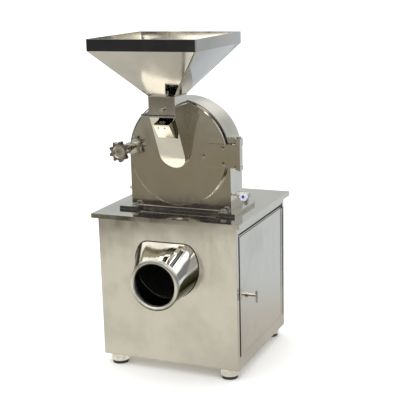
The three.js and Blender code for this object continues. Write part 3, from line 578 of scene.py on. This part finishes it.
def add_piece(name, points, faces, material, body, smooth=True):
    """A piece of its own that rides on a CAD body."""
    piece = plain_mesh(name, points, faces)
    shape = bmesh.new()
    shape.from_mesh(piece.data)
    bmesh.ops.recalc_face_normals(shape, faces=shape.faces)
    shape.to_mesh(piece.data)
    shape.free()
    if smooth:
        piece.data.polygons.foreach_set("use_smooth", [True] * len(piece.data.polygons))
    piece.data.materials.append(material)
    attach(piece, body)
    return piece


def resampled(path, spacing, closed):
    """Points at even distances along a line of straight stretches."""
    corners = [Vector(p) for p in path]
    if closed:
        corners.append(corners[0])
    lengths = [(b - a).length for a, b in zip(corners, corners[1:])]
    count = max(2, round(sum(lengths) / spacing))
    points = []
    stretch = 0
    passed = 0.0
    for i in range(count if closed else count + 1):
        along = sum(lengths) * i / count
        while stretch < len(lengths) - 1 and along > passed + lengths[stretch]:
            passed += lengths[stretch]
            stretch += 1
        points.append(corners[stretch].lerp(corners[stretch + 1], (along - passed) / lengths[stretch]))
    return points


def swept(path, plane, section_at, closed):
    """Points and faces of a section moved along a flat path. section_at(i) gives its corners as (u, v):
    u is sideways in the path's plane, v along the plane's normal."""
    plane = Vector(plane)
    count = len(path)
    points = []
    for i, place in enumerate(path):
        before = path[i - 1] if closed or i > 0 else place
        after = path[(i + 1) % count] if closed or i < count - 1 else place
        sideways = (after - before).normalized().cross(plane)
        points += [place + sideways * u + plane * v for u, v in section_at(i)]
    around = len(section_at(0))
    faces = []
    for i in range(count if closed else count - 1):
        j = (i + 1) % count
        for k in range(around):
            n = (k + 1) % around
            faces.append((i * around + k, i * around + n, j * around + n, j * around + k))
    if not closed:
        faces.append(tuple(range(around)))
        faces.append(tuple(range((count - 1) * around, count * around)))
    return points, faces


def round_section(width, height, corners=8):
    turn = [2 * math.pi * k / corners for k in range(corners)]
    return [(width * math.cos(a), height * math.sin(a)) for a in turn]


def arc_points(centre, radius, from_degrees, to_degrees, count):
    """Points (a, b) on an arc round a centre (a, b)."""
    turn = [math.radians(from_degrees + (to_degrees - from_degrees) * i / count) for i in range(count + 1)]
    return [(centre[0] + radius * math.cos(a), centre[1] + radius * math.sin(a)) for a in turn]


def weld_bead(name, path, plane, radius, closed, material, body):
    """A weld run, rippled every few millimetres."""
    line = resampled(path, WELD_STEP, closed)

    def section(i):
        swell = radius * (1 + 0.16 * math.sin(i * 2.1) + 0.08 * math.sin(i * 0.37))
        return round_section(swell, swell, 6)

    points, faces = swept(line, plane, section, closed)
    add_piece(name, points, faces, material, body)


def add_neck_weld(material):
    low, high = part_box("feed_neck")
    left = high.x - NECK_WIDTH
    seam = high.z
    corners = [(left, low.y, seam), (high.x, low.y, seam), (high.x, high.y, seam), (left, high.y, seam)]
    weld_bead("neck_weld", corners, (0, 0, 1), 0.9 * MM, True, material, "chamber_door")


def add_chute_weld(material):
    low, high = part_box("feed_chute")
    half = (high.x - low.x) / 2
    outline = [(low.x, high.z)]
    outline += arc_points(((low.x + high.x) / 2, low.z + half), half, 180, 360, 24)
    outline.append((high.x, high.z))
    path = [(x, high.y - 1.0 * MM, z) for x, z in outline]
    weld_bead("chute_weld", path, (0, -1, 0), 1.3 * MM, False, material, "chamber_door")


def add_outlet_weld(material):
    low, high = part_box("outlet_duct")
    centre = ((low.x + high.x) / 2 + OUTLET_OFFSET, low.z + OUTLET_RADIUS)
    circle = arc_points(centre, OUTLET_RADIUS - 2.5 * MM, 0, 360, 72)[:-1]
    path = [(x, low.y + OUTLET_WELD_BACK, z) for x, z in circle]
    weld_bead("outlet_weld", path, (0, -1, 0), 1.3 * MM, True, material, "frame")


def add_flange_weld(material):
    low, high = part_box("chamber_housing")
    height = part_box("base_flange")[1].z + 1.0 * MM
    half = (high.x - low.x - CLAMP_BLOCK_REACH) / 2
    middle = high.x - half
    front = low.y - 0.6 * MM
    path = [(middle - half, front, height), (middle + half, front, height)]
    weld_bead("flange_weld", path, (0, 0, 1), 1.0 * MM, False, material, "frame")


def duct_outline(outset):
    """The duct's outline at the front panel: round, with a flat top and rounded top corners."""
    count = 120
    low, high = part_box("outlet_duct")
    middle = (low.x + high.x) / 2
    radius = (high.x - low.x) / 2 + outset
    flat = high.z + outset
    centre_z = high.z - DUCT_FLAT_TOP
    points = []
    for i in range(count):
        angle = 2 * math.pi * i / count
        z = centre_z + radius * math.cos(angle)
        near = max(DUCT_BLEND - abs(z - flat), 0) / DUCT_BLEND
        z = min(z, flat) - near * near * DUCT_BLEND / 4
        points.append((middle + radius * math.sin(angle), z))
    return points


def add_duct_shade_line(material):
    """A black rubber bead round the duct, where it meets the front panel: painted shade for the dark gap
    line round the opening.
    """
    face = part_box("front_panel")[0].y
    line = resampled([(x, face - 0.9 * MM, z) for x, z in duct_outline(0.9 * MM)], 4 * MM, True)
    points, faces = swept(line, (0, -1, 0), lambda i: round_section(1.3 * MM, 0.9 * MM), True)
    add_piece("duct_shade_line", points, faces, material, "frame")


def add_door_shade_strips(material):
    """Black rubber strips in the grooves above and in front of the side door: painted shade, darkening the
    gaps there.
    """
    low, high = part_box("service_door")
    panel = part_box("side_frame")[1]
    depth = panel.x - SHADE_STRIP_DEPTH
    edge = low.y - SHADE_STRIP_OFFSET
    over = high.z + SHADE_STRIP_ABOVE
    path = [(depth, edge, low.z), (depth, edge, over), (depth, panel.y, over)]
    half_section = [(3.6, -0.6), (3.6, 0.4), (2.2, 1.5)]
    section = [(-u, v) for u, v in half_section] + [(0, 1.9)] + half_section[::-1]
    section = [(u * MM, v * MM) for u, v in section]
    points, faces = swept([Vector(p) for p in path], (1, 0, 0), lambda i: section, False)
    add_piece("side_door_shade_strip", points, faces, material, "frame")


def add_thread(material):
    """The ridge of the clamp screw's thread, between its washer and the door's lug."""
    low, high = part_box("clamp_screw")
    core = (high.x - low.x) / 2
    middle = ((low.x + high.x) / 2, (low.z + high.z) / 2)
    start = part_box("clamp_washer")[1].y + 0.8 * MM
    per_turn = 28
    ridge = [
        (core - THREAD_ROOT, -THREAD_HALF_WIDTH),
        (core + THREAD_CREST, 0.0),
        (core - THREAD_ROOT, THREAD_HALF_WIDTH),
    ]
    points = []
    for i in range(round(THREAD_TURNS * per_turn) + 1):
        angle = 2 * math.pi * i / per_turn
        along = start + THREAD_PITCH * i / per_turn
        for radius, shift in ridge:
            points.append((middle[0] + radius * math.cos(angle), along + shift,
                           middle[1] + radius * math.sin(angle)))
    count = len(points) // 3
    faces = [(i * 3 + k, i * 3 + (k + 1) % 3, i * 3 + 3 + (k + 1) % 3, i * 3 + 3 + k)
             for i in range(count - 1) for k in range(3)]
    faces += [(0, 1, 2), (count * 3 - 3, count * 3 - 2, count * 3 - 1)]
    add_piece("clamp_thread", points, faces, material, "clamp_spindle", smooth=False)


def turned_heads(name, places, axis, profile, material):
    """Round or hexagonal heads on one mesh. profile rows are (radius, height, hexagonal)."""
    around = 24
    axis = Vector(axis)
    side = axis.orthogonal().normalized()
    up = axis.cross(side)
    points = []
    faces = []
    for place in places:
        start = len(points)
        for radius, height, hexagonal in profile:
            for k in range(around):
                angle = 2 * math.pi * k / around
                reach = radius
                if hexagonal:
                    reach = radius * math.cos(math.pi / 6) / math.cos(angle % (math.pi / 3) - math.pi / 6)
                spoke = side * math.cos(angle) + up * math.sin(angle)
                points.append(Vector(place) + spoke * reach + axis * height)
        for row in range(len(profile) - 1):
            for k in range(around):
                n = (k + 1) % around
                a = start + row * around
                faces.append((a + k, a + n, a + around + n, a + around + k))
        faces.append(tuple(range(start, start + around)))
        faces.append(tuple(range(start + (len(profile) - 1) * around, start + len(profile) * around)))
    piece = add_piece(name, points, faces, material, "frame", smooth=False)
    rounded(piece, 0.25 * MM, math.radians(35))


def socket_screw(radius):
    """The profile of a button head with a hexagonal socket."""
    top = radius * 0.55
    return [
        (radius, 0, False),
        (radius, radius * 0.12, False),
        (radius * 0.86, radius * 0.38, False),
        (radius * 0.62, top, False),
        (radius * 0.48, top, False),
        (radius * 0.45, top, True),
        (radius * 0.45, top * 0.35, True),
    ]


def hexagon_head(radius):
    """The profile of a hexagonal head on its washer, its top chamfered."""
    washer = radius * 1.35
    washer_top = radius * 0.2
    return [
        (washer, 0, False),
        (washer, washer_top, False),
        (radius * 1.02, washer_top, False),
        (radius, washer_top, True),
        (radius, radius * 0.72, True),
        (radius * 0.86, radius * 0.84, False),
    ]


def middle_of(node):
    low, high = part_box(node)
    return (low + high) / 2


def add_rear_screws(material):
    low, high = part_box("rear_panel")
    inset = 9 * MM
    heights = [low.z + 25 * MM, (low.z + high.z) / 2, high.z - 40 * MM]
    places = [(x, high.y, z) for x in (low.x + inset, high.x - inset) for z in heights]
    turned_heads("rear_panel_screws", places, (0, 1, 0), socket_screw(5 * MM), material)


def add_terminal_screws(material):
    middle = middle_of("motor_body").x
    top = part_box("motor_body")[1].z
    beside = 40 * MM
    along = 33 * MM
    ends = (TERMINAL_Y - along, TERMINAL_Y + along)
    places = [(middle + x, y, top) for x in (-beside, beside) for y in ends]
    turned_heads("terminal_box_screws", places, (0, 0, 1), socket_screw(3.4 * MM), material)


def around_shaft(radius, face, from_degrees, to_degrees, count):
    """Points on an arc round the rotor's shaft, at a face's distance back."""
    shaft = middle_of("driven_pulley")
    arc = arc_points((shaft.x, shaft.z), radius, from_degrees, to_degrees, count)
    return [(x, face, z) for x, z in arc]


def add_bearing_bolts(material):
    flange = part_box("bearing_housing")[0].y + 10 * MM
    places = around_shaft(62 * MM, flange, 45, 315, 3)
    turned_heads("bearing_bolts", places, (0, 1, 0), hexagon_head(6.5 * MM), material)


def add_guard_screws(material):
    low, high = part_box("belt_guard")
    places = around_shaft((high.x - low.x) / 2 - 8 * MM, high.y, 0, 180, 4)
    turned_heads("belt_guard_screws", places, (0, 1, 0), socket_screw(3.6 * MM), material)


def add_motor_fins(material):
    """Cooling fins along the motor's casing, tapered towards their edges."""
    low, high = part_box("motor_body")
    middle = (low.x + high.x) / 2
    axis_z = low.z + MOTOR_AXIS_HEIGHT
    start = low.y + MOTOR_FIN_START
    end = start + MOTOR_FIN_LENGTH
    root = (MOTOR_RADIUS - 2 * MM, 1.9 * MM)
    tip = (MOTOR_RADIUS + MOTOR_FIN_HEIGHT, 1.0 * MM)
    points = []
    faces = []
    for i in range(MOTOR_FINS):
        angle = 2 * math.pi * (i + 0.5) / MOTOR_FINS
        spoke = Vector((math.cos(angle), 0, math.sin(angle)))
        under_terminals = spoke.z > 0.80
        at_feet = spoke.z < -0.45 and abs(spoke.x) > 0.3
        at_bottom = spoke.z < -0.9
        if under_terminals or at_feet or at_bottom:
            continue
        across = Vector((-math.sin(angle), 0, math.cos(angle)))
        first = len(points)
        for y in (start, end):
            for radius, half in (root, tip):
                inset = 4 * MM if radius > MOTOR_RADIUS and y == start else 0
                base = Vector((middle, y + inset, axis_z)) + spoke * radius
                points += [base - across * half, base + across * half]
        a, b, c, d, e, f, g, h = range(first, first + 8)
        faces += [(a, b, d, c), (e, f, h, g), (a, b, f, e), (c, d, h, g), (a, c, g, e), (b, d, h, f)]
    fins = add_piece("motor_fins", points, faces, material, "frame", smooth=False)
    rounded(fins, 0.6 * MM, math.radians(30))


def add_details(materials):
    add_neck_weld(materials["weld"])
    add_chute_weld(materials["weld"])
    add_outlet_weld(materials["weld"])
    add_flange_weld(materials["weld"])
    # painted shade: a black bead for the dark gap line round the duct
    add_duct_shade_line(materials["rubber"])
    # painted shade: black strips darken the side door's gaps
    add_door_shade_strips(materials["rubber"])
    add_thread(materials["machined"])
    add_rear_screws(materials["machined"])
    add_terminal_screws(materials["machined"])
    add_bearing_bolts(materials["machined"])
    add_guard_screws(materials["machined"])
    add_motor_fins(materials["paint"])


# ---- studio ----

FLOOR_SIZE = 24.0
FLOOR_DEPTH = 0.3 * MM  # under the feet
ROOM_RADIUS = 9.0
ROOM_SIDES = 48
ROOM_ROWS = 12
WORLD_STRENGTH = 1.4
SOFTBOX_SIZE = 3.0
SOFTBOX_WATTS = 30
SOFTBOX_PLACE = (-0.6, -1.0, 4.2)
SOFTBOX_TURN = (math.radians(-13), math.radians(-8), 0)
NOT_SEEN_BY = ("visible_camera", "visible_diffuse", "visible_shadow", "visible_transmission",
               "visible_volume_scatter")
# upright strips of the reflected room: from and to, in degrees right of the front, softness, colour
LOW_STRIPS = [
    (58, 80, 2, (0.55, 0.53, 0.50)),
    (80, 112, 3, (0.22, 0.225, 0.22)),
]
HIGH_STRIPS = [
    (4, 20, 2, (0.28, 0.28, 0.29)),
    (49, 57, 1.5, (0.10, 0.095, 0.09)),
    (57, 74, 2, (0.80, 0.79, 0.76)),
    (92, 112, 3, (0.20, 0.20, 0.20)),
]
OVERHEAD_STRIPS = [
    (52, 66, 2, (0.10, 0.095, 0.09)),
    (82, 112, 3, (0.22, 0.225, 0.22)),
]


def make_floor():
    half = FLOOR_SIZE / 2
    outline = ((-half, -half), (half, -half), (half, half), (-half, half))
    corners = [(x, y, -FLOOR_DEPTH) for x, y in outline]
    floor = plain_mesh("floor", corners, [(0, 1, 2, 3)])
    material, g = new_material("pale_floor")
    surface(g, Base_Color=(0.93, 0.93, 0.925), Roughness=0.9, Specular_IOR_Level=0.1)
    floor.data.materials.append(material)


def reflection_card(name, points, faces, colour_of):
    """A glowing card that only shows in the steel's reflections."""
    card = plain_mesh(name, points, faces)
    material, g = new_material(name)
    glow = g.node("ShaderNodeEmission")
    g.feed(glow.inputs[0], colour_of(g))
    output = g.node("ShaderNodeOutputMaterial")
    g.tree.links.new(glow.outputs[0], output.inputs[0])
    material.cycles.emission_sampling = "NONE"
    card.data.materials.append(material)
    for way in NOT_SEEN_BY:
        setattr(card, way, False)


def floor_glow(g):
    """Warm and pale near the machine's front, darker further off; cool and even behind it; dull green close
    by at the right of the front."""
    place = g.place()
    x, y, _ = g.split(place)
    away = g.vector("LENGTH", place)
    drift = g.math("MULTIPLY_ADD", g.noise(place, 1.4, 2), 0.5, away)
    pale = (0.86, 0.84, 0.75)
    brown = (0.30, 0.265, 0.195)
    dark = (0.080, 0.074, 0.058)
    grey = (0.38, 0.36, 0.31)
    dim = (0.22, 0.205, 0.175)
    green = (0.070, 0.064, 0.034)
    front = g.mix(g.step(drift, 2.3, 3.3), pale, brown)
    front = g.mix(between(g, drift, 2.62, 3.05, 0.06), front, dark)
    front = g.mix(g.step(away, 4.6, 5.8), front, grey)
    front = g.mix(g.step(away, 6.5, 8.5), front, dim)
    back = g.mix(g.step(away, 0.4, 1.3), (0.62, 0.585, 0.54), (0.70, 0.745, 0.78))
    side = g.math("ADD", g.math("MULTIPLY", x, 0.9), y)
    floor = g.mix(g.step(side, -0.6, 0.5), front, back)
    right = g.math("MULTIPLY", g.step(x, 0.30, 0.42), g.step(y, -0.22, -0.34))
    near = g.math("MULTIPLY", right, g.step(away, 2.4, 2.0))
    return g.mix(near, floor, green)


def striped(g, turn, ground, strips):
    """A colour with upright strips of other colours over it."""
    for low, high, soft, colour in strips:
        ground = g.mix(between(g, turn, low, high, soft), ground, colour)
    return ground


def room_glow(g):
    """Walls and ceiling by direction: a dark foot all along the front and windows over it, cool grey behind,
    bright lamps overhead."""
    x, y, z = g.split(g.vector("NORMALIZE", g.place()))
    turn = g.math("DEGREES", g.math("ARCTAN2", x, g.math("MULTIPLY", y, -1)))
    horizon = (0.16, 0.15, 0.13)
    dark = (0.047, 0.047, 0.052)
    window = (1.5, 1.48, 1.42)
    cool = (0.645, 0.69, 0.72)
    grey = (0.60, 0.62, 0.62)
    pale = (1.45, 1.45, 1.42)
    lamp = (3.0, 2.95, 2.8)
    low = striped(g, turn, g.mix(g.step(z, 0.005, 0.05), horizon, dark), LOW_STRIPS)
    high = striped(g, turn, window, HIGH_STRIPS)
    front = g.mix(g.step(z, 0.36, 0.48), low, high)
    back = g.mix(g.step(z, 0.05, 0.30), cool, grey)
    back = g.mix(g.step(z, 0.38, 0.60), back, pale)
    wall = g.mix(g.step(g.math("ABSOLUTE", turn), 114, 126), front, back)
    over = striped(g, turn, lamp, OVERHEAD_STRIPS)
    return g.mix(g.step(z, 0.80, 0.90), wall, over)


def make_reflections():
    """A round floor and a dome, seen by polished metal only."""
    turn = [2 * math.pi * i / ROOM_SIDES for i in range(ROOM_SIDES)]
    rim = [(ROOM_RADIUS * math.cos(a), ROOM_RADIUS * math.sin(a), 0.4 * MM) for a in turn]
    reflection_card("reflected_floor", rim, [tuple(range(ROOM_SIDES))], floor_glow)
    points = []
    for row in range(ROOM_ROWS):
        lift = math.pi / 2 * row / ROOM_ROWS
        reach = ROOM_RADIUS * math.cos(lift)
        height = ROOM_RADIUS * math.sin(lift)
        points += [(reach * math.cos(a), reach * math.sin(a), height) for a in turn]
    points.append((0, 0, ROOM_RADIUS))
    faces = []
    for row in range(ROOM_ROWS - 1):
        here = row * ROOM_SIDES
        over = here + ROOM_SIDES
        for i in range(ROOM_SIDES):
            j = (i + 1) % ROOM_SIDES
            faces.append((here + i, here + j, over + j, over + i))
    last = (ROOM_ROWS - 1) * ROOM_SIDES
    faces += [(last + i, last + (i + 1) % ROOM_SIDES, len(points) - 1) for i in range(ROOM_SIDES)]
    reflection_card("reflected_room", points, faces, room_glow)


def make_lights():
    """A white world for the even light, and one wide lamp over the front for the shadow underneath."""
    world = bpy.data.worlds.new("studio")
    bpy.context.scene.world = world
    world.use_nodes = True
    g = Graph(world.node_tree)
    glow = g.node("ShaderNodeBackground")
    g.feed(glow.inputs[0], (1, 1, 1, 1))
    g.feed(glow.inputs[1], WORLD_STRENGTH)
    output = g.node("ShaderNodeOutputWorld")
    g.tree.links.new(glow.outputs[0], output.inputs[0])
    lamp = bpy.data.lights.new("softbox", "AREA")
    lamp.shape = "SQUARE"
    lamp.size = SOFTBOX_SIZE
    lamp.energy = SOFTBOX_WATTS
    softbox = bpy.data.objects.new("softbox", lamp)
    softbox.location = SOFTBOX_PLACE
    softbox.rotation_euler = SOFTBOX_TURN
    softbox.visible_glossy = False
    softbox.visible_camera = False
    bpy.context.scene.collection.objects.link(softbox)


make_camera()
make_floor()
make_reflections()
make_lights()
looks = make_materials()
finish_cad_pieces(looks)
add_details(looks)
bpy.context.scene.view_settings.view_transform = "Standard"
bpy.context.scene.cycles.use_denoising = True
